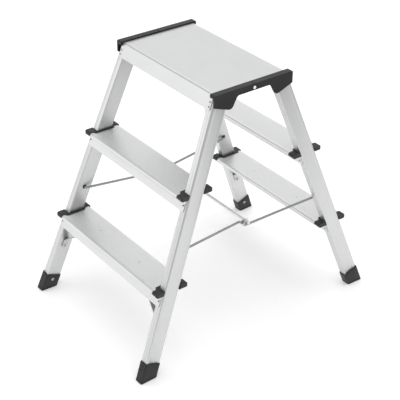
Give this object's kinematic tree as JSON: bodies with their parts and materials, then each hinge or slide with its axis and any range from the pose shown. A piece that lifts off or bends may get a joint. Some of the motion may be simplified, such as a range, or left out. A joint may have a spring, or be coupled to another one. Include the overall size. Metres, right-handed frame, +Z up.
{
  "type": "folding step ladder",
  "caption": "Low double-sided folding step ladder: two hinged aluminium frames with deep treads meeting at a shared ribbed platform, held open by folding wire stays.",
  "frame": {"origin": "floor level, on the vertical line through the middle of the open ladder", "axes": "+X across the ladder, -Y the frame that carries the platform, +Y the frame that swings, +Z up"},
  "size_m": [0.511, 0.7546, 0.694],
  "materials": {
    "tread_aluminium": "fine extrusion grain, satin",
    "stile_aluminium": "smooth extruded, satin",
    "black_plastic": "fine moulded texture",
    "rivet_metal": "smooth domed heads",
    "steel_wire": "plated wire, slightly dull",
    "bar_steel": "bright plated"
  },
  "bodies": {
    "front_frame": {"platform": "tread_aluminium", "front_step_lower": "tread_aluminium", "front_step_upper": "tread_aluminium", "front_stile_right": "stile_aluminium", "front_foot_right": "black_plastic", "front_foot_rivet_right": "rivet_metal", "front_brace_right": "stile_aluminium", "front_brace_rivet_right": "rivet_metal", "front_brace_step_rivet_right": "rivet_metal", "front_clip_lower_right": "black_plastic", "front_step_rivet_lower_right": "rivet_metal", "front_clip_upper_right": "black_plastic", "front_step_rivet_upper_right": "rivet_metal", "front_stile_left": "stile_aluminium", "front_foot_left": "black_plastic", "front_foot_rivet_left": "rivet_metal", "front_brace_left": "stile_aluminium", "front_brace_rivet_left": "rivet_metal", "front_brace_step_rivet_left": "rivet_metal", "front_clip_lower_left": "black_plastic", "front_step_rivet_lower_left": "rivet_metal", "front_clip_upper_left": "black_plastic", "front_step_rivet_upper_left": "rivet_metal", "platform_rivet_high_right": "rivet_metal", "platform_rivet_low_right": "rivet_metal", "front_hinge_right": "black_plastic", "hinge_pin_right": "steel_wire", "platform_rivet_high_left": "rivet_metal", "platform_rivet_low_left": "rivet_metal", "front_hinge_left": "black_plastic", "hinge_pin_left": "steel_wire"},
    "rear_frame": {"rear_step_lower": "tread_aluminium", "rear_step_upper": "tread_aluminium", "rear_stile_right": "stile_aluminium", "rear_foot_right": "black_plastic", "rear_foot_rivet_right": "rivet_metal", "rear_brace_right": "stile_aluminium", "rear_brace_rivet_right": "rivet_metal", "rear_brace_step_rivet_right": "rivet_metal", "rear_clip_lower_right": "black_plastic", "rear_step_rivet_lower_right": "rivet_metal", "rear_clip_upper_right": "black_plastic", "rear_step_rivet_upper_right": "rivet_metal", "rear_stile_left": "stile_aluminium", "rear_foot_left": "black_plastic", "rear_foot_rivet_left": "rivet_metal", "rear_brace_left": "stile_aluminium", "rear_brace_rivet_left": "rivet_metal", "rear_brace_step_rivet_left": "rivet_metal", "rear_clip_lower_left": "black_plastic", "rear_step_rivet_lower_left": "rivet_metal", "rear_clip_upper_left": "black_plastic", "rear_step_rivet_upper_left": "rivet_metal", "rear_hinge_right": "black_plastic", "rear_hinge_left": "black_plastic"},
    "stay_front": {"crossbar": "bar_steel", "front_rod_left": "steel_wire", "front_rod_right": "steel_wire"},
    "stay_rear_left": {"rear_rod_left": "steel_wire"},
    "stay_rear_right": {"rear_rod_right": "steel_wire"}
  },
  "joints": [
    {"name": "fold", "type": "hinge", "parent": "front_frame", "child": "rear_frame", "pos_m": [0, 0, 0.684], "axis": [1, 0, 0], "range_deg": [-42.31, 0]},
    {"name": "stay_front_pivot", "type": "hinge", "parent": "front_frame", "child": "stay_front", "pos_m": [0, -0.23625, 0.3], "axis": [1, 0, 0], "range_deg": [0, 47.93]},
    {"name": "stay_rear_left_pivot", "type": "hinge", "parent": "rear_frame", "child": "stay_rear_left", "pos_m": [-0.2, 0.23625, 0.3], "axis": [1, 0, 0], "range_deg": [-47.93, 0]},
    {"name": "stay_rear_right_pivot", "type": "hinge", "parent": "rear_frame", "child": "stay_rear_right", "pos_m": [0.2, 0.23625, 0.3], "axis": [1, 0, 0], "range_deg": [-47.93, 0]}
  ],
  "couplings": [
    {"joint": "stay_front_pivot", "follows": "fold", "ratio": -1.1315},
    {"joint": "stay_rear_left_pivot", "follows": "fold", "ratio": 1.1315},
    {"joint": "stay_rear_right_pivot", "follows": "fold", "ratio": 1.1315}
  ]
}
